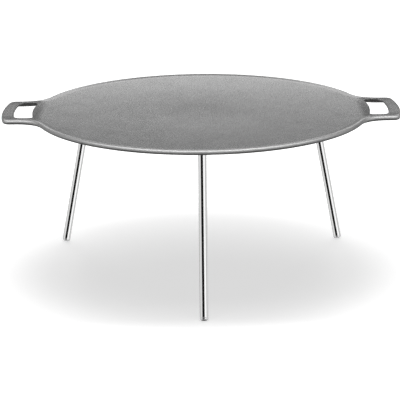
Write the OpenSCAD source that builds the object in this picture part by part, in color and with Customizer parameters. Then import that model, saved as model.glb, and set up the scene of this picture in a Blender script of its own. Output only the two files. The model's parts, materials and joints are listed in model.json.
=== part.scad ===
// Camp griddle: a round dished casting with two loop handles, standing on three screw-in legs.
// Millimetres, +Z up. The origin is on the ground, under the middle of the plate.
// The handles lie along X, and one leg points to -Y, the front.

/* [Plate] */
// Diameter of the plate over its rim
plate_d = 500; // [440:1:600]
// Height of the rim's crest above the ground
stand_h = 246; // [180:1:320]
// Thickness of the rounded rim, which runs on round the handles
rim_t = 8; // [7:0.25:12]
// Thickness of the plate inside the rim
plate_t = 4.5; // [4:0.25:5.5]
// Height of the rim's crest above the edge of the dish
lip_h = 1.1; // [1:0.1:2]
// Depth of the dish, from its edge to its flat middle
dish_depth = 10; // [6:0.5:14]
// Diameter of the flat middle of the dish
flat_d = 150; // [100:5:240]

/* [Handles] */
// Width of a handle, over its two side bars
handle_w = 124; // [105:1:150]
// How far a handle reaches past the edge of the plate
handle_reach = 48; // [44:1:60]
// How far the faces of a handle lie inside the crests of its rim
face_sink = 0.7; // [0.4:0.1:0.9]
// Radius of a handle's two outer corners, seen from above
corner_r = 12; // [8:1:25]
// Radius of the hollow where a side bar runs into the rim, seen from above
root_r = 38; // [25:1:50]
// How far the faces of a handle reach inside the rim's middle line
face_lap = 3; // [2:0.5:5]
// Width of the two side bars
bar_w = 12.5; // [10:0.5:16]
// Width of the grip at the outer end
grip_w = 18.5; // [14:0.5:21]
// Width of the strip left between the rim and the finger hole
hole_gap = 2.5; // [1.5:0.25:5]
// Radius of the finger hole's corners at the grip
hole_outer_r = 16; // [4:1:22]
// Radius of the finger hole's corners at the rim
hole_inner_r = 6; // [3:1:10]

/* [Leg bosses] */
// Distance from the edge of the plate to a leg's axis, at the underside of the plate
leg_inset = 50; // [40:1:70]
// Lean of the legs away from upright, in degrees
splay = 12.5; // [6:0.5:18]
// Diameter of a boss
boss_d = 18; // [15:0.5:24]
// Length of a boss below the plate, along the leg
boss_h = 5; // [4:0.5:8]
// Iron left over the end of the tapped hole
bore_cover = 1.5; // [1.25:0.25:2]

/* [Legs] */
// Outer diameter of the leg tube
tube_d = 12; // [11.5:0.5:16]
// Wall of the leg tube
tube_wall = 1; // [0.75:0.05:1.4]
// Rounding of the tube's outer edges
tube_edge = 0.4; // [0.2:0.1:0.7]
// Diameter of the stud's thread
stud_d = 8; // [6:0.5:8]
// Advance of the thread in one turn
thread_pitch = 1.25; // [1:0.25:1.5]
// Radial clearance of the stud in the boss
thread_clear = 0.05; // [0.02:0.01:0.08]
// Gap between the end of the stud and the end of its hole
stud_gap = 1; // [0.5:0.25:2]
// Chamfer on the end of the stud
stud_chamfer = 1; // [0.5:0.1:1.5]
// Length of the stud pressed into the tube
stud_in = 20; // [12:1:30]
// Interference of the pieces pressed into the tube, on the radius
press = 0.02; // [0.01:0.01:0.04]

/* [Lock washers] */
// Thickness of a lock washer, pressed flat
washer_t = 1.6; // [1.2:0.1:2.2]
// Width of the washer's ring
washer_w = 2; // [1.6:0.1:2.6]
// Radial clearance of the washer round the stud
washer_clear = 0.1; // [0.05:0.05:0.3]
// Width of the cut through the washer
washer_cut = 1; // [0.6:0.1:2]

/* [Foot plugs] */
// Height of the plug's straight rim below the tube
plug_rim = 3; // [2:0.25:6]
// Radius of the plug's domed end
dome_r = 12; // [9:0.5:20]
// Length of the plug pressed into the tube
plug_in = 12; // [8:1:20]

/* [Hidden] */

// Steps in a full circle, for small round shapes, for the plate and for the dish's ball
$fn = 64;
plate_fn = 240;
dish_fn = 5760;
// Steps in a handle's arcs
arc_steps = 24;
// Overshoot of a cut past the face that it opens
over = 1;
// The rim's stretches stop this far short of their joints
joint_gap = 0.3;
// and each joint is a ball, this much larger than the rim
joint_bulge = 0.05;

// Dish, in heights from the rim's crest: part of a large ball, cut flat in the middle
plate_r = plate_d / 2;
rim_r = rim_t / 2;
rim_line_r = plate_r - rim_r;
flat_r = flat_d / 2;
flat_z = -lip_h - dish_depth;
ball_rise = (rim_line_r * rim_line_r - flat_r * flat_r - dish_depth * dish_depth) / (2 * dish_depth);
ball_r = sqrt(rim_line_r * rim_line_r + ball_rise * ball_rise);
ball_z = ball_rise - lip_h;

// Handle, along the middle line of the rim
web_t = rim_t - 2 * face_sink;
bar_y = handle_w / 2 - rim_r;
grip_line_r = plate_r + handle_reach - rim_r;
corner_line_r = corner_r - rim_r;
corner_y = bar_y - corner_line_r;
corner_x = sqrt(pow(grip_line_r - corner_line_r, 2) - corner_y * corner_y);
corner_a = atan2(corner_y, corner_x);
root_line_r = root_r + rim_r;
root_y = bar_y + root_line_r;
root_x = sqrt(pow(rim_line_r + root_line_r, 2) - root_y * root_y);
root_a = atan2(root_y, root_x);

// Finger hole
hole_y = handle_w / 2 - bar_w;
hole_in_r = plate_r + hole_gap;
hole_out_r = plate_r + handle_reach - grip_w;
hole_in_y = hole_y - hole_inner_r;
hole_in_x = sqrt(pow(hole_in_r + hole_inner_r, 2) - hole_in_y * hole_in_y);
hole_in_a = atan2(hole_in_y, hole_in_x);
hole_out_y = hole_y - hole_outer_r;
hole_out_x = sqrt(pow(hole_out_r - hole_outer_r, 2) - hole_out_y * hole_out_y);
hole_out_a = atan2(hole_out_y, hole_out_x);

// Leg axis: it leaves the underside at leg_r, and the leg's own z starts at the boss face
leg_r = plate_r - leg_inset;
under_z = stand_h + dish_z(leg_r) - plate_t;
face_r = leg_r + boss_h * sin(splay);
face_z = under_z - boss_h * cos(splay);
boss_sink = plate_t / 2;
bore_r = stud_d / 2 + thread_clear;
bore_depth = boss_h + plate_t - bore_cover;
stud_engage = bore_depth - stud_gap;

// Leg: the dome's centre stands dome_r above the ground
tube_r = tube_d / 2;
tube_bore_r = tube_r - tube_wall;
press_r = tube_bore_r + press;
dome_drop = sqrt(dome_r * dome_r - tube_r * tube_r);
dome_z = (face_z - dome_r) / cos(splay);
plug_z = dome_z + dome_drop - plug_rim;
tube_len = plug_z - washer_t;

SIDES = ["front", "left", "right"];
SIDE_ANGLES = [-90, 150, 30];

echo(leg_tube_length = tube_len, thread_turns = stud_engage / thread_pitch);
echo(boss_face = [face_r, face_z], stud_engage = stud_engage);

// Height of the cooking face at radius r, from the rim's crest
function dish_z(r) =
    r < flat_r ? flat_z
    : ball_z - sqrt(ball_r * ball_r - r * r);

// Points on an arc about c
function arc(c, r, from, to) =
    [for (i = [0 : arc_steps])
        let (a = from + (to - from) * i / arc_steps)
        [c[0] + r * cos(a), c[1] + r * sin(a)]];

// A half outline on the +Y side, closed by its mirror image
function both_sides(half) =
    concat(half, [for (i = [len(half) - 1 : -1 : 0]) [half[i][0], -half[i][1]]]);

function handle_outline() = both_sides(concat(
    arc([0, 0], rim_line_r - face_lap, 0, root_a),
    arc([root_x, root_y], root_line_r, root_a + 180, 270),
    arc([corner_x, corner_y], corner_line_r, 90, corner_a),
    arc([0, 0], grip_line_r, corner_a, 0)));

function hole_outline() = both_sides(concat(
    arc([0, 0], hole_in_r, 0, hole_in_a),
    arc([hole_in_x, hole_in_y], hole_inner_r, hole_in_a + 180, 90),
    arc([hole_out_x, hole_out_y], hole_outer_r, 90, hole_out_a),
    arc([0, 0], hole_out_r, hole_out_a, 0)));

// Stretch of the rim along an arc about c, stopping short of the joints at its ends
module rim_arc(c, r, from, to) {
    trim = joint_gap / r * 180 / PI;
    translate([c[0], c[1], -rim_r])
        rotate([0, 0, from + trim])
            rotate_extrude(angle = to - from - 2 * trim, $fn = plate_fn)
                translate([r, 0])
                    circle(r = rim_r);
}

// Joint between two stretches of the rim, which runs there at the given angle to X
module rim_joint(p, angle) {
    translate([p[0], p[1], -rim_r])
        rotate([0, 90, angle])
            sphere(r = rim_r + joint_bulge);
}

// Part of a circle about the ball's centre, from height z up to the crest
module ball_section(r, z, w) {
    intersection() {
        translate([0, ball_z])
            circle(r = r, $fn = dish_fn);
        translate([0, z])
            square([w, -z]);
    }
}

// Section of the dish, right of the axis
module dish_section() {
    difference() {
        ball_section(ball_r + plate_t, flat_z - plate_t, rim_line_r);
        ball_section(ball_r, flat_z, plate_r);
    }
}

// Faces of the handle at +X, inside its rim
module handle_web() {
    translate([0, 0, -rim_r - web_t / 2])
        linear_extrude(web_t)
            polygon(handle_outline());
}

// A quarter of the rim, from the middle of the back to the middle of the grip at +X
module rim_quarter() {
    rim_arc([0, 0], rim_line_r, root_a, 90);
    rim_joint(rim_line_r * [cos(root_a), sin(root_a)], root_a + 90);
    rim_arc([root_x, root_y], root_line_r, root_a + 180, 270);
    rim_joint([root_x, bar_y], 0);
    translate([root_x + joint_gap, bar_y, -rim_r])
        rotate([0, 90, 0])
            cylinder(r = rim_r, h = corner_x - root_x - 2 * joint_gap);
    rim_joint([corner_x, bar_y], 0);
    rim_arc([corner_x, corner_y], corner_line_r, corner_a, 90);
    rim_joint(grip_line_r * [cos(corner_a), sin(corner_a)], corner_a + 90);
    rim_arc([0, 0], grip_line_r, 0, corner_a);
    rim_joint([grip_line_r, 0], 90);
}

module finger_hole() {
    translate([0, 0, -rim_t - over])
        linear_extrude(rim_t + 2 * over)
            polygon(hole_outline());
}

// Places a child on a leg's axis: z = 0 at the boss face, +z towards the foot
module on_leg(angle) {
    rotate([0, 0, angle])
        translate([face_r, 0, face_z])
            rotate([0, 180 - splay, 0])
                children();
}

// Dished plate on its tapped bosses
module dish() {
    difference() {
        union() {
            translate([0, 0, stand_h])
                rotate_extrude($fn = plate_fn)
                    dish_section();
            for (angle = SIDE_ANGLES)
                on_leg(angle)
                    translate([0, 0, -boss_h - boss_sink])
                        cylinder(d = boss_d, h = boss_h + boss_sink);
        }
        for (angle = SIDE_ANGLES)
            on_leg(angle)
                translate([0, 0, -bore_depth])
                    cylinder(r = bore_r, h = bore_depth + over);
    }
}

// Handle at +X, with its half of the rim
module rim_and_handle() {
    difference() {
        union() {
            handle_web();
            rim_quarter();
            mirror([0, 1, 0])
                rim_quarter();
        }
        finger_hole();
    }
}

module griddle_plate() {
    color("dimgray") {
        dish();
        translate([0, 0, stand_h])
            for (side = [0, 1]) {
                mirror([side, 0, 0])
                    rim_and_handle();
                mirror([0, side, 0])
                    rim_joint([0, rim_line_r], 0);
            }
    }
}

function side_angle(side) = SIDE_ANGLES[search([side], SIDES)[0]];

// Split ring between the boss face and the end of the tube
module lock_washer(side) {
    washer_in_r = stud_d / 2 + washer_clear;
    color("gray")
        on_leg(side_angle(side))
            difference() {
                cylinder(r = washer_in_r + washer_w, h = washer_t);
                translate([0, 0, -over])
                    cylinder(r = washer_in_r, h = washer_t + 2 * over);
                translate([0, -washer_cut / 2, -over])
                    cube([washer_in_r + washer_w + over, washer_cut, washer_t + 2 * over]);
            }
}

// Threaded stud, with its plain shank pressed into the tube
module leg_stud(side) {
    thread_r = stud_d / 2;
    color("gray")
        on_leg(side_angle(side))
            rotate_extrude()
                polygon([
                    [0, -stud_engage],
                    [thread_r - stud_chamfer, -stud_engage],
                    [thread_r, -stud_engage + stud_chamfer],
                    [thread_r, washer_t],
                    [press_r, washer_t],
                    [press_r, washer_t + stud_in],
                    [0, washer_t + stud_in]
                ]);
}

// Leg tube, with its outer edges broken at both ends
module leg_tube(side) {
    color("silver")
        on_leg(side_angle(side))
            rotate_extrude()
                polygon([
                    [tube_bore_r, washer_t],
                    [tube_r - tube_edge, washer_t],
                    [tube_r, washer_t + tube_edge],
                    [tube_r, plug_z - tube_edge],
                    [tube_r - tube_edge, plug_z],
                    [tube_bore_r, plug_z]
                ]);
}

// Plug that closes the tube and stands on the ground
module foot_plug(side) {
    color("silver")
        on_leg(side_angle(side)) {
            translate([0, 0, plug_z - plug_in])
                cylinder(r = press_r, h = plug_in);
            translate([0, 0, plug_z])
                cylinder(r = tube_r, h = plug_rim);
            intersection() {
                translate([0, 0, dome_z])
                    sphere(r = dome_r);
                translate([0, 0, plug_z + plug_rim])
                    cylinder(r = tube_r, h = dome_r);
            }
        }
}

griddle_plate();
lock_washer("front");  // lock_washer_front
leg_stud("front");  // leg_stud_front
leg_tube("front");  // leg_tube_front
foot_plug("front");  // foot_plug_front
lock_washer("left");  // lock_washer_left
leg_stud("left");  // leg_stud_left
leg_tube("left");  // leg_tube_left
foot_plug("left");  // foot_plug_left
lock_washer("right");  // lock_washer_right
leg_stud("right");  // leg_stud_right
leg_tube("right");  // leg_tube_right
foot_plug("right");  // foot_plug_right
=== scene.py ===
"""Looks of a camp griddle: a dished iron plate with two cast loop handles, on three screw-in tube legs.

Metres, +Z up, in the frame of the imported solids: the origin is on the ground, under the middle of the plate.
"""

import json
from math import atan2, cos, exp, hypot, pi, radians, sin, sqrt

import bmesh
import bpy
from mathutils import Matrix, Vector

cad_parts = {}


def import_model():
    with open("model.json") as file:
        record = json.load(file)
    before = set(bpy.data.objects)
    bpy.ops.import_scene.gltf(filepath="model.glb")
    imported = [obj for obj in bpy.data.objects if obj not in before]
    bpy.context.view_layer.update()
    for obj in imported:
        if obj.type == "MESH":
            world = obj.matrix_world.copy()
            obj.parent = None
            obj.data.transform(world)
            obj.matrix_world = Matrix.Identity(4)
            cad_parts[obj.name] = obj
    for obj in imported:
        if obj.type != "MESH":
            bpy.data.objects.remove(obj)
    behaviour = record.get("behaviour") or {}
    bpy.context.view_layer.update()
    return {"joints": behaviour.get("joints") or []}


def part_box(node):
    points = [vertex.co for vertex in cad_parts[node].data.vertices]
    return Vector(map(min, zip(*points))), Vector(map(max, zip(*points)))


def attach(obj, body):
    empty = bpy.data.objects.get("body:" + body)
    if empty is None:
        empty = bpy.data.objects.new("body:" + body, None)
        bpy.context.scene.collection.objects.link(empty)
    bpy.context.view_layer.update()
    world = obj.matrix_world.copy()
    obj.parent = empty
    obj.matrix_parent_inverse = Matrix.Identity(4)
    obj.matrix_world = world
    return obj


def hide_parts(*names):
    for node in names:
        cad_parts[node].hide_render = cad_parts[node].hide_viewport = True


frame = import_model()

MM = 0.001
SIDES = ("front", "left", "right")

# Meshes: distance and angle that count as none, folds to round or to keep sharp, and steps of small rounds
WELD = 1e-7
SAME_ANGLE = 1e-6
CAST_FOLD = 1
EDGE_FOLD = 0.5
SHARP_FOLD = radians(40)
EDGE_STEPS = 3

# Plate: the solids' box gives its height and reach, and their rim joints stand a little proud
JOINT_BULGE = 0.05 * MM
plate_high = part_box("griddle_plate")[1]
CREST_Z = plate_high.z - JOINT_BULGE
PLATE_R = plate_high.y - JOINT_BULGE
GRIP_R = plate_high.x - JOINT_BULGE
RIM_T = 8 * MM
PLATE_T = 4.5 * MM
LIP_H = 1.1 * MM
DISH_DEPTH = 10 * MM
FLAT_R = 60 * MM
HUB_R = 12 * MM
DISH_RINGS = (35, 60, 80, 100, 120, 140, 160, 180, 200, 215, 228, 236)

# Bead of the rim: where its foot meets the dish and where its shoulder lies, from the edge
FOOT_IN = 8.5 * MM
FOOT_R = PLATE_R - FOOT_IN
SHOULDER_IN = 6 * MM
SHOULDER_DROP = 0.15 * MM
BEAD_ROUND = 3.95 * MM
BEAD_STEPS = 6

# Steps round the plate, from a handle's middle to its root, in the narrow ends there, and across its face
PLATE_STEPS = 142
HALF_ROOT_STEPS = 8
WEDGE_STEPS = 3
WEB_CUTS = 4

# Handle, along its outer edge
HANDLE_Y = 62 * MM
CORNER_R = 12 * MM
ROOT_A = 2 * pi * HALF_ROOT_STEPS / PLATE_STEPS
ROOT_R = (PLATE_R * sin(ROOT_A) - HANDLE_Y) / (1 - sin(ROOT_A))
ROOT_X = (PLATE_R + ROOT_R) * cos(ROOT_A)
ROOT_Y = HANDLE_Y + ROOT_R
CORNER_Y = HANDLE_Y - CORNER_R
CORNER_X = sqrt((GRIP_R - CORNER_R) ** 2 - CORNER_Y**2)
CORNER_A = atan2(CORNER_Y, CORNER_X)
ROOT_STEPS = 6
SIDE_STEPS = 2
CORNER_STEPS = 6
END_STEPS = 12

# Finger hole: the faces above and below fall towards it by a dip, over about the dip's width
HOLE_Y = 49.5 * MM
HOLE_IN_R = PLATE_R + 2.5 * MM
HOLE_OUT_R = GRIP_R - 18.5 * MM
HOLE_INNER_CORNER = 6 * MM
HOLE_OUTER_CORNER = 11 * MM
HOLE_DIP = (0.1 * MM, 5 * MM)
HOLE_DIP_W = (4 * MM, 9 * MM)
HOLE_ROUND = 0.6 * MM
HOLE_UNDERCUT = 2.2 * MM
HOLE_UNDERCUT_W = 20 * MM
WEB_SINK = 0.1 * MM
WEB_RISE_W = 14 * MM
HOLE_IN_STEPS = 8
HOLE_IN_CORNER_STEPS = 4
HOLE_OUT_CORNER_STEPS = 8
HOLE_OUT_STEPS = 10

# Legs, along their own axes from the faces of the bosses
ROUND_STEPS = 64
WASHER_T = 1.6 * MM
WASHER_W = 2 * MM
WASHER_IN_R = 4.1 * MM
WASHER_CUT = 1 * MM
WASHER_EDGE_STEPS = 2
TUBE_R = 6 * MM
TUBE_WALL = 1 * MM
TUBE_EDGE = 0.4 * MM
TUBE_HOLD = 0.8 * MM
TUBE_END = 232.5 * MM
PLUG_RIM = 3 * MM
PLUG_IN = 12 * MM
PLUG_EDGE = 0.5 * MM
DOME_R = 12 * MM
DOME_STEPS = 8
STUD_R = 3.97 * MM
STUD_ENGAGE = 7 * MM
STUD_IN = 20 * MM
THREAD_PITCH = 1.25 * MM
THREAD_DEPTH = 0.65 * MM
THREAD_STEPS = 32
THREAD_WELD = 1e-6
SPARE_TURNS = 2
BORE_R = 4.05 * MM
BORE_DEPTH = 8 * MM
BOSS_R = 9 * MM
BOSS_H = 5 * MM
BOSS_FLARE = 3 * MM
FLARE_STEPS = 6
BOSS_SINK = 2 * MM


def smooth(low, high, x):
    """Runs from 0 at low to 1 at high, flat at both ends."""
    t = min(max((x - low) / (high - low), 0), 1)
    return t * t * (3 - 2 * t)


# Mesh helpers


def verts_of(made):
    return [g for g in made["geom"] if isinstance(g, bmesh.types.BMVert)]


def edges_among(verts):
    """The edges that join two of the vertices."""
    inside = set(verts)
    return list({e for v in verts for e in v.link_edges if e.other_vert(v) in inside})


def middle(edge):
    return (edge.verts[0].co + edge.verts[1].co) / 2


def rounded(bm, radius, segments, chosen, fold=EDGE_FOLD):
    """Rounds the folded edges whose middle is chosen."""
    bmesh.ops.bevel(
        bm,
        geom=[e for e in bm.edges if chosen(middle(e)) and e.is_manifold and e.calc_face_angle() > fold],
        offset=radius,
        offset_type="OFFSET",
        segments=segments,
        profile=0.5,
        affect="EDGES",
        material=-1,
    )


def spun(bm, vert, centre, angle, steps):
    """Runs a chain of edges from a vertex round a centre in the plan, and gives its last vertex."""
    made = bmesh.ops.spin(
        bm, geom=[vert], cent=(*centre, 0), axis=(0, 0, 1), angle=angle, steps=steps
    )
    return [g for g in made["geom_last"] if isinstance(g, bmesh.types.BMVert)][0]


def run_to(bm, vert, x, steps):
    """Runs a chain of edges from a vertex along X, and gives its last vertex."""
    step = (x - vert.co.x) / steps
    for _ in range(steps):
        made = bmesh.ops.extrude_vert_indiv(bm, verts=[vert])
        vert = made["verts"][0]
        vert.co.x += step
    return vert


def turned(bm, outline, steps=ROUND_STEPS, closed=False):
    """Turns an outline of (radius, height) points about Z into a solid."""
    verts = [bm.verts.new((r, 0, z)) for r, z in outline]
    pairs = list(zip(verts, verts[1:] + verts[:1]))
    edges = [bm.edges.new(pair) for pair in (pairs if closed else pairs[:-1])]
    bmesh.ops.spin(
        bm, geom=verts + edges, cent=(0, 0, 0), axis=(0, 0, 1), angle=2 * pi, steps=steps, use_merge=True
    )
    bmesh.ops.remove_doubles(bm, verts=bm.verts[:], dist=WELD)


def arc(centre, radius, first, last, steps):
    """Points of (radius, height) along an arc."""
    turns = [first + (last - first) * i / steps for i in range(steps + 1)]
    return [(centre[0] + radius * cos(a), centre[1] + radius * sin(a)) for a in turns]


def leg_matrix(side):
    """Places a shape made along +Z on a leg's axis, from the boss's face towards the foot."""
    joint = next(j for j in frame["joints"] if j["name"] == f"{side}_leg_turn")
    turn = Vector(joint["axis"]).to_track_quat("Z", "Y").to_matrix().to_4x4()
    return Matrix.Translation(joint["pos_m"]) @ turn


def as_mesh(name, bm, material):
    bmesh.ops.recalc_face_normals(bm, faces=bm.faces[:])
    mesh = bpy.data.meshes.new(name)
    bm.to_mesh(mesh)
    bm.free()
    mesh.materials.append(material)
    return mesh


def as_piece(name, mesh, body, slot, *nodes):
    """Shows a mesh as a piece that rides on a body and stands for solids."""
    mesh.shade_smooth()
    mesh.set_sharp_from_angle(angle=SHARP_FOLD)
    piece = bpy.data.objects.new(name, mesh)
    bpy.context.scene.collection.objects.link(piece)
    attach(piece, body)
    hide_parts(*nodes)
    return piece


# Materials


# Range that a noise mostly keeps to
NOISE_LOW, NOISE_HIGH = 0.3, 0.7


class Nodes:
    """A tree of shader nodes, and short ways to add to it."""

    def __init__(self, tree):
        self.nodes, self.links = tree.nodes, tree.links

    def add(self, kind, **inputs):
        node = self.nodes.new(kind)
        for name, value in inputs.items():
            socket = node.inputs[name.replace("_", " ")]
            if isinstance(value, bpy.types.NodeSocket):
                self.links.new(value, socket)
            else:
                socket.default_value = value
        return node

    def worked(self, operation, *values):
        """A sum on one or two values."""
        node = self.add("ShaderNodeMath")
        node.operation = operation
        for value, socket in zip(values, node.inputs):
            self.links.new(value, socket)
        return node.outputs["Value"]

    def mapped(self, value, from_low, from_high, low, high):
        return self.add(
            "ShaderNodeMapRange", Value=value, From_Min=from_low, From_Max=from_high, To_Min=low, To_Max=high
        )

    def parts(self, vector):
        return self.add("ShaderNodeSeparateXYZ", Vector=vector).outputs


class Finish(Nodes):
    """A material with a Principled shader."""

    def __init__(self, name, **sockets):
        self.material = bpy.data.materials.new(name)
        self.material.use_nodes = True
        super().__init__(self.material.node_tree)
        self.shader = self.nodes["Principled BSDF"]
        for socket, value in sockets.items():
            self.shader.inputs[socket.replace("_", " ")].default_value = value
        self.place = self.add("ShaderNodeTexCoord").outputs["Object"]

    def stretched(self, scale):
        """Object coordinates, scaled along each axis."""
        return self.add("ShaderNodeMapping", Vector=self.place, Scale=scale).outputs["Vector"]

    def noise(self, scale, detail, roughness, place=None):
        node = self.add(
            "ShaderNodeTexNoise", Vector=place or self.place, Scale=scale, Detail=detail, Roughness=roughness
        )
        return node.outputs["Fac"]

    def spread(self, value, low, high, from_low=NOISE_LOW, from_high=NOISE_HIGH):
        """Maps a value to a range."""
        return self.mapped(value, from_low, from_high, low, high).outputs["Result"]

    def ramp(self, value, *stops):
        """Greys or colours along a value."""
        node = self.add("ShaderNodeValToRGB", Fac=value)
        for element, (position, colour) in zip(node.color_ramp.elements, stops):
            element.position = position
            element.color = (*colour, 1)
        return node.outputs["Color"]

    def sum_of(self, a, b, share):
        """First value plus a share of the second."""
        node = self.add("ShaderNodeMath")
        node.operation = "MULTIPLY_ADD"
        self.links.new(b, node.inputs[0])
        node.inputs[1].default_value = share
        self.links.new(a, node.inputs[2])
        return node.outputs["Value"]

    def masked(self, *masks):
        """Product of masks."""
        made = masks[0]
        for mask in masks[1:]:
            made = self.worked("MULTIPLY", made, mask)
        return made

    def bump(self, height, strength, distance):
        node = self.add("ShaderNodeBump", Height=height, Strength=strength, Distance=distance)
        self.to("Normal", node.outputs["Normal"])

    def to(self, socket, value):
        self.links.new(value, self.shader.inputs[socket])


def grey(value):
    return (value, value, value)


# Iron: each noise's scale, detail and roughness, and the tones
IRON_IOR = 2.5
PEBBLES = (620, 2.0, 0.55)
CLOUDS = (26, 4.0, 0.6)
GRIT = (1500, 1.0, 0.5)
PEBBLE_SHARE = 0.8
GRIT_SHARE = 0.4
GRAIN_AND_PAINTED_LIGHT_RANGE = (-0.4, 1.2)
IRON_DARK = grey(0.015)
IRON_LIGHT = grey(0.2)
BUMP_STRENGTH = 0.3
BUMP_DEPTH = 0.25 * MM
SIDE_ROUGHNESS = (0.48, 0.38)
TOP_SMOOTHER = 0.17
HANDLE_SMOOTHER = 0.11
# Painted highlight: the faces that do not face up, the rim's bead most of all, are made lighter than the top
# faces
SIDES_PAINTED_HIGHLIGHT = 0.5
# Painted shade: the handles' faces round the finger holes are made darker, except in the middle of the grips
HANDLE_PAINTED_SHADE = 0.45
# Painted shade: the finger holes' walls are made near black, the shade inside the holes
HOLE_PAINTED_SHADE = 1.5

# Reaches of the iron's masks: upright part of the normal, then distances from the middle along X, Y or both
TOP_FACING = (0.85, 0.93)
HANDLE_FROM_X = (FOOT_R - 7 * MM, FOOT_R + 2 * MM)
HANDLE_TO_Y = (HANDLE_Y - 4 * MM, HANDLE_Y)
GRIP_MIDDLE_FROM_R = (HOLE_OUT_R, HOLE_OUT_R + 4 * MM)
GRIP_MIDDLE_TO_Y = (HOLE_Y - 16 * MM, HOLE_Y)
GRIP_MIDDLE_SHARE = 0.6
HOLE_FROM_R = (HOLE_IN_R - MM, HOLE_IN_R)
HOLE_TO_R = (HOLE_OUT_R + MM, HOLE_OUT_R)
HOLE_TO_Y = (HOLE_Y, HOLE_Y + MM)


def smooth_and_painted_faces(finish):
    """Masks of what faces up, of the handles' faces, less in the middle of the grips, and of the finger holes'
    walls; the last two carry painted shade.
    """
    normal = finish.add("ShaderNodeTexCoord").outputs["Normal"]
    top = finish.spread(finish.parts(normal)["Z"], 0, 1, *TOP_FACING)
    x, y = (finish.worked("ABSOLUTE", finish.parts(finish.place)[axis]) for axis in ("X", "Y"))
    squares = (finish.worked("MULTIPLY", side, side) for side in (x, y))
    r = finish.worked("SQRT", finish.worked("ADD", *squares))
    # Middle of the grips, where the handles' painted shade and smoothing are left off
    grip_middle = finish.masked(finish.spread(r, 0, 1, *GRIP_MIDDLE_FROM_R), finish.spread(y, GRIP_MIDDLE_SHARE, 0, *GRIP_MIDDLE_TO_Y))
    handles = finish.masked(
        top,
        finish.spread(x, 0, 1, *HANDLE_FROM_X),
        finish.spread(y, 1, 0, *HANDLE_TO_Y),
        finish.spread(grip_middle, 1, 0, 0, 1),
    )
    # Walls of the finger holes, which get painted shade
    holes = finish.masked(
        finish.spread(top, 1, 0, 0, 1),
        finish.spread(y, 1, 0, *HOLE_TO_Y),
        finish.spread(r, 0, 1, *HOLE_FROM_R),
        finish.spread(r, 0, 1, *HOLE_TO_R),
    )
    return top, handles, holes


def cast_iron():
    """Seasoned iron with a finely pebbled skin, painted lighter on its sides as a highlight and darker on its
    handles and in its finger holes as shade.
    """
    finish = Finish("cast_iron", IOR=IRON_IOR)
    pebbles = finish.noise(*PEBBLES)
    top, handles, holes = smooth_and_painted_faces(finish)
    grain_and_painted_light = finish.sum_of(finish.noise(*CLOUDS), pebbles, PEBBLE_SHARE)
    # Painted light in the colour: top faces darker than the sides, so the sides carry a painted highlight;
    # handle faces and hole walls darker, painted shade
    for mask, darker in ((top, SIDES_PAINTED_HIGHLIGHT), (handles, HANDLE_PAINTED_SHADE), (holes, HOLE_PAINTED_SHADE)):
        grain_and_painted_light = finish.sum_of(grain_and_painted_light, mask, -darker)
    grain_and_painted_light = finish.spread(grain_and_painted_light, 0, 1, *GRAIN_AND_PAINTED_LIGHT_RANGE)
    finish.to("Base Color", finish.ramp(grain_and_painted_light, (0, IRON_DARK), (1, IRON_LIGHT)))
    roughness = finish.sum_of(finish.spread(pebbles, *SIDE_ROUGHNESS), top, -TOP_SMOOTHER)
    finish.to("Roughness", finish.sum_of(roughness, handles, -HANDLE_SMOOTHER))
    finish.bump(finish.sum_of(pebbles, finish.noise(*GRIT), GRIT_SHARE), BUMP_STRENGTH, BUMP_DEPTH)
    return finish.material


# Metals: noise of the marks and its stretch, long on tubes and round on plugs, two colours, and roughness
METALS = {
    "polished_tube": ((900, 2.0, 0.6), (1, 1, 0.02), grey(0.76), grey(0.83), (0.05, 0.11)),
    "polished_plug": ((1400, 2.0, 0.6), (0.05, 0.05, 1), grey(0.72), grey(0.8), (0.16, 0.26)),
    "plated_steel": ((260, 4.0, 0.6), (1, 1, 1), (0.46, 0.46, 0.45), (0.6, 0.6, 0.57), (0.28, 0.45)),
}


def metal(name):
    """Polished or plated steel, with fine marks in its colour and gloss."""
    noise, stretch, dark, light, roughness = METALS[name]
    finish = Finish(name, Metallic=1.0)
    marks = finish.noise(*noise, finish.stretched(stretch))
    finish.to("Base Color", finish.ramp(marks, (NOISE_LOW, dark), (NOISE_HIGH, light)))
    finish.to("Roughness", finish.spread(marks, *roughness))
    return finish.material


# Plate


def dish_z(r):
    """Height of the cooking face from the rim's crest."""
    t = max(r - FLAT_R, 0) / (PLATE_R - RIM_T / 2 - FLAT_R)
    return -LIP_H - DISH_DEPTH + DISH_DEPTH * t * t


def outward(p):
    """Direction square to the nearest stretch of the outer edge, in plan."""
    x, y = abs(p.x), abs(p.y)
    if atan2(y, x) > ROOT_A - SAME_ANGLE:
        way = Vector((x, y, 0))
    elif x < ROOT_X:
        way = Vector((ROOT_X - x, ROOT_Y - y, 0))
    elif x < CORNER_X:
        way = Vector((0, 1, 0))
    elif atan2(y - CORNER_Y, x - CORNER_X) > CORNER_A:
        way = Vector((x - CORNER_X, y - CORNER_Y, 0))
    else:
        way = Vector((x, y, 0))
    way.normalize()
    return Vector((way.x if p.x > 0 else -way.x, way.y if p.y > 0 else -way.y, 0))


def from_hole(p):
    """Distance from the finger hole's edge, in plan."""
    corner = (HOLE_INNER_CORNER + HOLE_OUTER_CORNER) / 2
    half = (HOLE_OUT_R - HOLE_IN_R) / 2
    across = abs(hypot(p.x, p.y) - HOLE_IN_R - half) - half + corner
    along = abs(p.y) - HOLE_Y + corner
    return max(hypot(max(across, 0), max(along, 0)) - corner, 0)


def face_z(p, web, dip, dip_w, thickness):
    """Height, from the rim's crest, of the dish or of the handle's face outside it, which dips to the hole."""
    r = hypot(p.x, p.y)
    dish = dish_z(min(r, FOOT_R)) - thickness
    web += dip * exp(-((from_hole(p) / dip_w) ** 2))
    return dish + (web - dish) * smooth(FOOT_R, FOOT_R + WEB_RISE_W, r)


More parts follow.
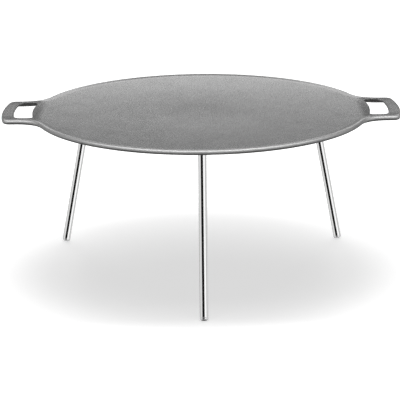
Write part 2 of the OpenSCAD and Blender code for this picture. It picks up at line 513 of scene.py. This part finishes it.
def undercut(p):
    """How far the underside is drawn back from the finger hole's long sides."""
    y = abs(p.y)
    strip = HANDLE_Y - FOOT_IN - HOLE_Y
    share = smooth(HOLE_Y - HOLE_UNDERCUT_W, HOLE_Y, y) * min(max(1 - (y - HOLE_Y) / strip, 0), 1)
    return HOLE_UNDERCUT * share * smooth(FOOT_R, HOLE_IN_R, hypot(p.x, p.y)) * (1 if p.y > 0 else -1)


def grown(bm, ring, radius):
    """Extrudes a ring of edges out to a radius, and gives the new ring."""
    verts = verts_of(bmesh.ops.extrude_edge_only(bm, edges=ring))
    for v in verts:
        v.co = v.co.normalized() * radius
    return edges_among(verts)


def handle_line(bm, start, end, turn):
    """Foot of a handle's bead, from one root to the other; turn is 1 at +X and -1 at -X."""
    corner = (CORNER_X * turn, CORNER_Y * turn)
    root = (ROOT_X * turn, ROOT_Y * turn)
    v = spun(bm, start, root, pi / 2 - ROOT_A, ROOT_STEPS)
    v = run_to(bm, v, corner[0], SIDE_STEPS)
    v = spun(bm, v, corner, CORNER_A - pi / 2, CORNER_STEPS)
    v = spun(bm, v, (0, 0), -2 * CORNER_A, END_STEPS)
    v = spun(bm, v, (corner[0], -corner[1]), CORNER_A - pi / 2, CORNER_STEPS)
    v = run_to(bm, v, root[0], SIDE_STEPS)
    last = ROOT_STEPS - 1
    v = spun(bm, v, (root[0], -root[1]), (pi / 2 - ROOT_A) * last / ROOT_STEPS, last)
    bm.edges.new((v, end))


def hole_line(bm, turn):
    """Edge of a finger hole, with as many edges as the line round it."""
    in_y, out_y = HOLE_Y - HOLE_INNER_CORNER, HOLE_Y - HOLE_OUTER_CORNER
    in_x = sqrt((HOLE_IN_R + HOLE_INNER_CORNER) ** 2 - in_y**2)
    out_x = sqrt((HOLE_OUT_R - HOLE_OUTER_CORNER) ** 2 - out_y**2)
    in_a, out_a = atan2(in_y, in_x), atan2(out_y, out_x)
    start = bm.verts.new((HOLE_IN_R * cos(in_a) * turn, -HOLE_IN_R * sin(in_a) * turn, 0))
    v = spun(bm, start, (0, 0), 2 * in_a, HOLE_IN_STEPS)
    v = spun(bm, v, (in_x * turn, in_y * turn), -pi / 2 - in_a, HOLE_IN_CORNER_STEPS)
    v = run_to(bm, v, out_x * turn, SIDE_STEPS)
    v = spun(bm, v, (out_x * turn, out_y * turn), out_a - pi / 2, HOLE_OUT_CORNER_STEPS)
    v = spun(bm, v, (0, 0), -2 * out_a, HOLE_OUT_STEPS)
    v = spun(bm, v, (out_x * turn, -out_y * turn), out_a - pi / 2, HOLE_OUT_CORNER_STEPS)
    v = run_to(bm, v, in_x * turn, SIDE_STEPS)
    last = HOLE_IN_CORNER_STEPS - 1
    v = spun(bm, v, (in_x * turn, -in_y * turn), (-pi / 2 - in_a) * last / HOLE_IN_CORNER_STEPS, last)
    bm.edges.new((v, start))


def drawn(bm, line, *args):
    """Draws a line and gives its edges."""
    before = set(bm.edges)
    line(bm, *args)
    return [e for e in bm.edges if e not in before]


def nearest(ring, x, y):
    """The vertex of a ring that lies in a direction."""
    way = Vector((x, y, 0))
    return max((v for e in ring for v in e.verts), key=lambda v: v.co.dot(way))


def along(edges, vert):
    """The vertices of a chain of edges, from the one at its end."""
    left, chain = set(edges), [vert]
    while edge := next((e for e in chain[-1].link_edges if e in left), None):
        left.remove(edge)
        chain.append(edge.other_vert(chain[-1]))
    return chain


def on_handle(edge):
    """True for an edge of the dish's outer ring between a handle's roots."""
    p = middle(edge)
    return atan2(abs(p.y), abs(p.x)) < ROOT_A


def root_wedge(bm, dish, bead):
    """Fills the narrow end between the dish and a handle's bead, and gives the edge left across it."""
    for i in range(WEDGE_STEPS):
        bm.faces.new(dict.fromkeys((dish[i], dish[i + 1], bead[i + 1], bead[i])))
    return bm.edges.get((dish[WEDGE_STEPS], bead[WEDGE_STEPS]))


def plate_skin(bm):
    """Plan of the plate's top: rings of the dish, the handles' faces, and the bead round the outside."""
    bmesh.ops.create_circle(bm, cap_ends=True, cap_tris=True, segments=PLATE_STEPS, radius=HUB_R)
    bmesh.ops.rotate(bm, verts=bm.verts[:], matrix=Matrix.Rotation(pi / 2, 3, "Z"))
    ring = [e for e in bm.edges if e.is_boundary]
    for radius in DISH_RINGS:
        ring = grown(bm, ring, radius * MM)
    ring = grown(bm, ring, FOOT_R)
    foot = [e for e in ring if not on_handle(e)]
    for turn in (1, -1):
        start, end = (nearest(ring, turn * cos(a), turn * sin(a)) for a in (ROOT_A, -ROOT_A))
        bead = drawn(bm, handle_line, start, end, turn)
        hole = drawn(bm, hole_line, turn)
        inner = [e for e in ring if on_handle(e) and middle(e).x * turn > 0]
        necks = [root_wedge(bm, along(inner, v), along(bead, v)) for v in (start, end)]
        still_open = [e for e in inner if e.is_boundary] + [e for e in bead if e.is_wire] + necks
        made = bmesh.ops.bridge_loops(bm, edges=still_open + hole)
        bmesh.ops.subdivide_edges(bm, edges=made["edges"], cuts=WEB_CUTS, use_grid_fill=True)
        foot += bead
    for step in (FOOT_IN - SHOULDER_IN, SHOULDER_IN):
        verts = verts_of(bmesh.ops.extrude_edge_only(bm, edges=foot))
        for v in verts:
            v.co += outward(v.co) * step
        foot = edges_among(verts)


def from_edge(p):
    """Distance from the outer edge, in plan."""
    x, y = abs(p.x), abs(p.y)
    if atan2(y, x) > ROOT_A - SAME_ANGLE:
        return PLATE_R - hypot(x, y)
    if x < ROOT_X:
        return hypot(ROOT_X - x, ROOT_Y - y) - ROOT_R
    if x < CORNER_X:
        return HANDLE_Y - y
    if atan2(y - CORNER_Y, x - CORNER_X) > CORNER_A:
        return CORNER_R - hypot(x - CORNER_X, y - CORNER_Y)
    return GRIP_R - hypot(x, y)


def plate_casting():
    """The dished plate with its rounded rim and two loop handles."""
    bm = bmesh.new()
    plate_skin(bm)
    top = bm.verts[:]
    under = verts_of(bmesh.ops.extrude_face_region(bm, geom=bm.faces[:], use_keep_orig=True))
    for verts, web, dip, dip_w, thickness, crest, drop in (
        (top, -WEB_SINK, -HOLE_DIP[0], HOLE_DIP_W[0], 0, 0, -SHOULDER_DROP),
        (under, WEB_SINK - RIM_T, HOLE_DIP[1], HOLE_DIP_W[1], PLATE_T, -RIM_T, SHOULDER_DROP),
    ):
        for v in verts:
            edge = from_edge(v.co)
            if edge < SHOULDER_IN / 2:
                v.co.z = CREST_Z + crest
            elif edge < (SHOULDER_IN + FOOT_IN) / 2:
                v.co.z = CREST_Z + crest + drop
            else:
                v.co.z = CREST_Z + face_z(v.co, web, dip, dip_w, thickness)
                v.co.y += undercut(v.co) if thickness else 0
    bmesh.ops.recalc_face_normals(bm, faces=bm.faces[:])
    for outer, radius, steps in ((True, BEAD_ROUND, BEAD_STEPS), (False, HOLE_ROUND, EDGE_STEPS)):
        rounded(bm, radius, steps, lambda p: (from_edge(p) < SHOULDER_IN / 2) == outer, CAST_FOLD)
    return bm


def boss(side):
    """Flared boss that takes a leg."""
    bm = bmesh.new()
    base = -BOSS_H - BOSS_SINK
    flare = arc((BOSS_R + BOSS_FLARE, -BOSS_H + BOSS_FLARE), BOSS_FLARE, pi, 1.5 * pi, FLARE_STEPS)
    turned(bm, [(0, 0), (BOSS_R, 0), *flare, (BOSS_R + BOSS_FLARE, base), (0, base)])
    bmesh.ops.transform(bm, matrix=leg_matrix(side), verts=bm.verts[:])
    return bm


def bore(side):
    """Tapped hole in a boss, with its mouth broken."""
    bm = bmesh.new()
    mouth = BORE_R + TUBE_EDGE
    wall = [(0, -BORE_DEPTH), (BORE_R, -BORE_DEPTH), (BORE_R, -TUBE_EDGE)]
    turned(bm, [*wall, (mouth, 0), (mouth, MM), (0, MM)])
    bmesh.ops.transform(bm, matrix=leg_matrix(side), verts=bm.verts[:])
    return bm


def griddle_plate():
    iron = cast_iron()
    body = bpy.data.objects.new("plate_body", as_mesh("plate_body", plate_casting(), iron))
    finer = body.modifiers.new("finer", "SUBSURF")
    finer.levels = finer.render_levels = 1
    tools = []
    for operation, shape in (("UNION", boss), ("DIFFERENCE", bore)):
        for side in SIDES:
            tool = bpy.data.objects.new(f"{operation}_{side}", as_mesh("tool", shape(side), iron))
            cut = body.modifiers.new(tool.name, "BOOLEAN")
            cut.operation = operation
            cut.solver = "EXACT"
            cut.object = tool
            tools.append(tool)
    for o in (body, *tools):
        bpy.context.scene.collection.objects.link(o)
    made = body.evaluated_get(bpy.context.evaluated_depsgraph_get())
    mesh = bpy.data.meshes.new_from_object(made)
    mesh.name = "plate"
    for o in (body, *tools):
        bpy.data.objects.remove(o)
    return as_piece("plate", mesh, "plate", "cast_iron", "griddle_plate")


# Legs


def tube():
    bm = bmesh.new()
    inside = TUBE_R - TUBE_WALL
    heights = (WASHER_T, WASHER_T + TUBE_HOLD, TUBE_END - TUBE_HOLD, TUBE_END)
    turned(bm, [(TUBE_R, z) for z in heights] + [(inside, z) for z in reversed(heights)], closed=True)
    bmesh.ops.recalc_face_normals(bm, faces=bm.faces[:])
    rounded(bm, TUBE_EDGE, EDGE_STEPS, lambda p: hypot(p.x, p.y) > TUBE_R - TUBE_WALL / 2)
    return bm


def plug():
    bm = bmesh.new()
    shank_r = TUBE_R - TUBE_WALL
    rim_end = TUBE_END + PLUG_RIM
    centre = rim_end - sqrt(DOME_R**2 - TUBE_R**2)
    dome = arc((0, centre), DOME_R, atan2(rim_end - centre, TUBE_R), pi / 2, DOME_STEPS)
    start = TUBE_END - PLUG_IN
    turned(bm, [(0, start), (shank_r, start), (shank_r, TUBE_END), (TUBE_R, TUBE_END), *dome])
    bmesh.ops.recalc_face_normals(bm, faces=bm.faces[:])
    rounded(bm, PLUG_EDGE, EDGE_STEPS, lambda p: hypot(p.x, p.y) > TUBE_R - TUBE_WALL / 2)
    return bm


# One tooth of the thread: radii, and heights in pitches
ROOT_OF_THREAD = STUD_R - THREAD_DEPTH
TOOTH = (
    (ROOT_OF_THREAD, 0.06),
    (STUD_R, 0.44),
    (STUD_R, 0.56),
    (ROOT_OF_THREAD, 0.94),
    (ROOT_OF_THREAD, 1.06),
)


def thread(bm, low, high):
    """Screw thread between two heights, closed at both ends."""
    start = low - SPARE_TURNS * THREAD_PITCH
    verts = [bm.verts.new((r, 0, start + share * THREAD_PITCH)) for r, share in TOOTH]
    edges = [bm.edges.new(pair) for pair in zip(verts, verts[1:])]
    turns = int((high - low) / THREAD_PITCH) + 2 * SPARE_TURNS
    bmesh.ops.spin(
        bm,
        geom=verts + edges,
        cent=(0, 0, 0),
        axis=(0, 0, 1),
        dvec=(0, 0, THREAD_PITCH / THREAD_STEPS),
        angle=2 * pi * turns,
        steps=THREAD_STEPS * turns,
    )
    bmesh.ops.remove_doubles(bm, verts=bm.verts[:], dist=THREAD_WELD)
    for height, way in ((low, -1), (high, 1)):
        cut = bmesh.ops.bisect_plane(
            bm,
            geom=bm.verts[:] + bm.edges[:] + bm.faces[:],
            plane_co=(0, 0, height),
            plane_no=(0, 0, way),
            clear_outer=True,
        )
        rim = [g for g in cut["geom_cut"] if isinstance(g, bmesh.types.BMEdge)]
        bmesh.ops.edgeloop_fill(bm, edges=rim)


def stud():
    bm = bmesh.new()
    thread(bm, -STUD_ENGAGE, WASHER_T)
    shank_r = TUBE_R - TUBE_WALL
    end = WASHER_T + STUD_IN
    turned(bm, [(0, WASHER_T), (shank_r, WASHER_T), (shank_r, end), (0, end)])
    return bm


def washer():
    """Split ring, sprung a little open at its cut."""
    bm = bmesh.new()
    outside = WASHER_IN_R + WASHER_W
    section = [(WASHER_IN_R, 0), (outside, 0), (outside, WASHER_T), (WASHER_IN_R, WASHER_T)]
    verts = [bm.verts.new((r, 0, z)) for r, z in section]
    first = bm.faces.new(verts)
    gap = WASHER_CUT / (WASHER_IN_R + WASHER_W / 2)
    bmesh.ops.rotate(bm, verts=verts, matrix=Matrix.Rotation(gap / 2, 3, "Z"))
    bmesh.ops.spin(
        bm, geom=[first], cent=(0, 0, 0), axis=(0, 0, 1), angle=2 * pi - gap, steps=ROUND_STEPS
    )
    bmesh.ops.recalc_face_normals(bm, faces=bm.faces[:])
    rounded(bm, TUBE_EDGE / 2, WASHER_EDGE_STEPS, lambda p: True)
    return bm


# Pieces of a leg: name, maker, body it rides on, and slot of its material
LEG_PIECES = (
    ("leg_tube", tube, "leg", "polished_tube"),
    ("foot_plug", plug, "leg", "polished_plug"),
    ("leg_stud", stud, "leg", "plated_steel"),
    ("lock_washer", washer, "washer", "plated_steel"),
)


def legs():
    materials = {name: metal(name) for name in METALS}
    for side in SIDES:
        for name, shape, body, slot in LEG_PIECES:
            bm = shape()
            bmesh.ops.transform(bm, matrix=leg_matrix(side), verts=bm.verts[:])
            mesh = as_mesh(f"{name}_{side}", bm, materials[slot])
            as_piece(f"{side}_{name}", mesh, f"{body}_{side}", slot, f"{name}_{side}")


# Studio


# Camera, fitted to the photograph: focal length in pixels of its 400-pixel frame, distance, angles and aim
FRAME_PX = 400
FOCAL_PX = 1699.7
SENSOR_MM = 36
CAMERA_AWAY = 2.5902
CAMERA_ELEVATION = radians(16.31)
CAMERA_AZIMUTH = radians(-0.256)
CAMERA_ROLL = radians(0.584)
AIM_DROP = 143.6 * MM
AIM_SIDE = -3 * MM


def camera():
    turn, tilt = CAMERA_AZIMUTH, CAMERA_ELEVATION
    back = Vector((sin(turn) * cos(tilt), -cos(turn) * cos(tilt), sin(tilt)))
    right = Vector((cos(turn), sin(turn), 0))
    up = back.cross(right)
    place = back * CAMERA_AWAY + right * AIM_SIDE + Vector((0, 0, CREST_Z - AIM_DROP))
    across = right * cos(CAMERA_ROLL) - up * sin(CAMERA_ROLL)
    upright = right * sin(CAMERA_ROLL) + up * cos(CAMERA_ROLL)
    data = bpy.data.cameras.new("camera")
    data.sensor_width = SENSOR_MM
    data.lens = FOCAL_PX / FRAME_PX * SENSOR_MM
    eye = bpy.data.objects.new("camera", data)
    eye.matrix_world = Matrix.Translation(place) @ Matrix((across, upright, back)).transposed().to_4x4()
    bpy.context.scene.collection.objects.link(eye)
    bpy.context.scene.camera = eye
    return place


class Studio(Nodes):
    """Nodes of a backdrop or of the world, which look different to each kind of ray."""

    def __init__(self, tree):
        super().__init__(tree)
        self.ray = self.add("ShaderNodeLightPath").outputs

    def place(self, kind):
        """Where a ray meets the backdrop, or its direction."""
        return self.add("ShaderNodeTexCoord").outputs[kind]

    def spread(self, value, from_low, from_high, low, high):
        """Maps a value to a range, flat at both ends."""
        node = self.mapped(value, from_low, from_high, low, high)
        node.interpolation_type = "SMOOTHSTEP"
        return node.outputs["Result"]

    def glow(self, strength):
        return self.add("ShaderNodeEmission", Strength=strength).outputs[0]

    def matt(self, tone):
        return self.add("ShaderNodeBsdfDiffuse", Color=(*grey(tone), 1)).outputs[0]

    def both(self, first, second):
        node = self.add("ShaderNodeAddShader")
        for shader, socket in zip((first, second), node.inputs):
            self.links.new(shader, socket)
        return node.outputs[0]

    def choice(self, kind, otherwise, chosen):
        """A shader for one kind of ray, and another for the rest."""
        node = self.add("ShaderNodeMixShader", Fac=self.ray[kind])
        for shader, socket in zip((otherwise, chosen), node.inputs[1:]):
            self.links.new(shader, socket)
        return node.outputs[0]

    def show(self, shader, output):
        self.links.new(shader, self.nodes[output].inputs["Surface"])


def backdrop_material(name):
    material = bpy.data.materials.new(name)
    material.use_nodes = True
    material.node_tree.nodes.remove(material.node_tree.nodes["Principled BSDF"])
    return material, Studio(material.node_tree)


def staged(name, bm, material):
    piece = bpy.data.objects.new(name, as_mesh(name, bm, material))
    bpy.context.scene.collection.objects.link(piece)
    return piece


# Ground: its tones, and the stretches of distance from the middle, or of Y, over which they change; the glows
# that rise away from the plate and towards the front paint part of the shadow
FLOOR_SIZE = 14
FLOOR_COLOUR = 0.42
FLOOR_LIFT = 0.67
SHADOW_PAINTING_GLOW = 0.4
SHADOW_PAINTING_REACH = (0.22, 0.46)
SHADOW_EDGE_GLOW = 0.25
SHADOW_EDGE_REACH = (-0.33, -0.24)
FLOOR_BOUNCE = 0.06
# Painted shadow that metal sees in the ground under the plate
MIRRORED_PAINTED_SHADOW = 0.1
MIRRORED_SHADOW_REACH = (0.45, 1.1)
MIRRORED_BACK = 0.15
BACK_STRETCH = (0.3, 1)


def floor():
    """White ground: the camera sees the soft shadow, cast by the lamp over the ground and shaped by a glow
    painted weaker near the plate; metal sees a painted shadow, dark under the plate, and a dim ground far
    behind.
    """
    material, look = backdrop_material("floor")
    place = look.place("Object")
    distance = look.add("ShaderNodeVectorMath", Vector=place)
    distance.operation = "LENGTH"
    away, y = distance.outputs["Value"], look.parts(place)["Y"]
    # Glows that paint the shadow's reach: weaker near the plate, and stronger in front of its front edge
    far = look.glow(look.spread(away, *SHADOW_PAINTING_REACH, FLOOR_LIFT, FLOOR_LIFT + SHADOW_PAINTING_GLOW))
    front = look.glow(look.spread(y, *SHADOW_EDGE_REACH, SHADOW_EDGE_GLOW, 0))
    lit = look.both(look.matt(FLOOR_COLOUR), look.both(far, front))
    seen = look.choice("Is Camera Ray", look.matt(FLOOR_BOUNCE), lit)
    # Metal sees the ground dark near the plate: painted shadow
    under = look.spread(away, *MIRRORED_SHADOW_REACH, MIRRORED_PAINTED_SHADOW, 1)
    back = look.spread(y, *BACK_STRETCH, 1, MIRRORED_BACK)
    mirrored = look.glow(look.worked("MULTIPLY", under, back))
    look.show(look.choice("Is Glossy Ray", seen, mirrored), "Material Output")
    bm = bmesh.new()
    bmesh.ops.create_grid(bm, x_segments=1, y_segments=1, size=FLOOR_SIZE / 2)
    return staged("floor", bm, material)


# Flags, cards that only metal sees, which paint the stripes of light and shade mirrored in the legs: edges, as
# degrees of the surface from the camera's side, and tone
FLAGS = (
    ("outline", -78, -56, 0.6),
    ("shade", -56, -24, 0.85),
    ("stripe", -24, 8, 0.01),
    ("shine", 8, 36, 1.2),
    ("line", 36, 50, 0.5),
    ("edge", 50, 78, 0.85),
)
PLUG_FLAG = ("plug", -78, 78, 0.9)
FLAG_AWAY = 40 * MM
FLAG_LIFT = 0.2 * MM
FLAG_ROWS = 24
FLAG_COLUMNS = 8
# Dark discs under the feet that only metal sees: painted contact shade mirrored in the foot plugs
CONTACT_R = 9 * MM
MIRRORED_CONTACT_SHADE = 0.02


def mirrored_point(eye, point, axis, turn):
    """Where a ray from the eye goes after a leg's surface, turned so far from the eye's side, mirrors it."""
    ray = (point - eye).normalized()
    facing = (axis * ray.dot(axis) - ray).normalized()
    normal = Matrix.Rotation(turn, 3, -axis) @ facing
    way = ray - 2 * ray.dot(normal) * normal
    start = point + normal * TUBE_R
    reach = FLAG_AWAY if way.z >= 0 else min(FLAG_AWAY, max(start.z - FLAG_LIFT, 0) / -way.z)
    return start + way * reach


def flag_material(name, tone):
    material, look = backdrop_material(name)
    look.show(look.glow(tone), "Material Output")
    return material


def metal_only(name, bm, material):
    """Card that only metal sees."""
    card = staged(name, bm, material)
    card.visible_camera = card.visible_diffuse = card.visible_shadow = card.visible_transmission = False


def flag(name, place, turns, reach, material, eye):
    """Card along the rays that a stretch of a leg mirrors between two turns of its surface."""
    axis = Vector(place.col[2][:3])
    bm = bmesh.new()
    bmesh.ops.create_grid(bm, x_segments=FLAG_COLUMNS, y_segments=FLAG_ROWS, size=0.5)
    for v in bm.verts:
        turn, along_leg = (a + (b - a) * (share + 0.5) for (a, b), share in zip((turns, reach), v.co.xy))
        v.co = mirrored_point(eye, place.translation + axis * along_leg, axis, radians(turn))
    metal_only(name, bm, material)


def flags(eye):
    contact = flag_material("contact", MIRRORED_CONTACT_SHADE)
    for side in SIDES:
        place = leg_matrix(side)
        ground = place.translation.z / -place.col[2].z
        for entries, reach in ((FLAGS, (0, TUBE_END)), ((PLUG_FLAG,), (TUBE_END, ground))):
            for name, first, last, tone in entries:
                flag(f"{name}_{side}", place, (first, last), reach, flag_material(name, tone), eye)
        # Dark disc under the foot: painted contact shade for the plug to mirror
        bm = bmesh.new()
        foot = place @ Vector((0, 0, ground))
        middle_at = Matrix.Translation((foot.x, foot.y, FLAG_LIFT))
        bmesh.ops.create_circle(bm, cap_ends=True, segments=ROUND_STEPS, radius=CONTACT_R, matrix=middle_at)
        metal_only(f"contact_{side}", bm, contact)


WORLD_DIFFUSE = 0.08
MIRRORED_FRONT = 0.88
MIRRORED_WALL = 0.24
WALL_STRETCH = (0.1, 0.5)


def world():
    """Dim light all round; the camera sees white, and metal sees white in front and a dimmer wall behind."""
    sky = bpy.data.worlds.new("studio")
    sky.use_nodes = True
    sky.node_tree.nodes.remove(sky.node_tree.nodes["Background"])
    look = Studio(sky.node_tree)

    def light(strength):
        return look.add("ShaderNodeBackground", Color=(*grey(1), 1), Strength=strength).outputs[0]

    y = look.parts(look.place("Generated"))["Y"]
    mirrored = light(look.spread(y, *WALL_STRETCH, MIRRORED_FRONT, MIRRORED_WALL))
    seen = look.choice("Is Camera Ray", light(WORLD_DIFFUSE), light(1.0))
    look.show(look.choice("Is Glossy Ray", seen, mirrored), "World Output")
    bpy.context.scene.world = sky


def softbox(name, place, aim, size, watts):
    """Rectangular lamp."""
    data = bpy.data.lights.new(name, "AREA")
    data.shape = "RECTANGLE"
    data.size, data.size_y = size
    data.energy = watts
    lamp = bpy.data.objects.new(name, data)
    lamp.location = place
    lamp.rotation_euler = (Vector(aim) - Vector(place)).to_track_quat("-Z", "Y").to_euler()
    bpy.context.scene.collection.objects.link(lamp)
    return lamp


# Lamp over the ground: place, aim, size and power
TOP_LAMP = ((0, 0.55, 1.85), (0, 0.55, 0), (1.5, 2.6), 44)

# Softboxes round the plate: name, azimuth from the front, elevation, size and power
LAMP_AWAY = 2.8
PLATE_LAMPS = (
    ("front", 0, 51, (3.2, 1.7), 74),
    ("left", -62, 42, (2.2, 1.5), 32),
    ("right", 62, 42, (2.2, 1.5), 32),
    ("back", 180, 28, (4.0, 0.9), 18),
)


def lit_only(lamp, piece):
    """Makes a lamp light one thing alone."""
    lit = bpy.data.collections.new(f"lit_by_{lamp.name}")
    lit.objects.link(piece)
    lamp.light_linking.receiver_collection = lit


def lights(plate, ground):
    """A lamp over the ground for the soft shadow, and softboxes for the plate; the back is only mirrored."""
    lit_only(softbox("top", *TOP_LAMP), ground)
    centre = Vector((0, 0, CREST_Z))
    for name, azimuth, elevation, size, watts in PLATE_LAMPS:
        turn, rise = radians(azimuth), radians(elevation)
        way = Vector((sin(turn) * cos(rise), -cos(turn) * cos(rise), sin(rise)))
        lamp = softbox(name, centre + way * LAMP_AWAY, centre, size, watts)
        lamp.visible_diffuse = name != "back"
        lit_only(lamp, plate)


plate = griddle_plate()
legs()
flags(camera())
world()
lights(plate, floor())
bpy.context.scene.view_settings.view_transform = "Standard"
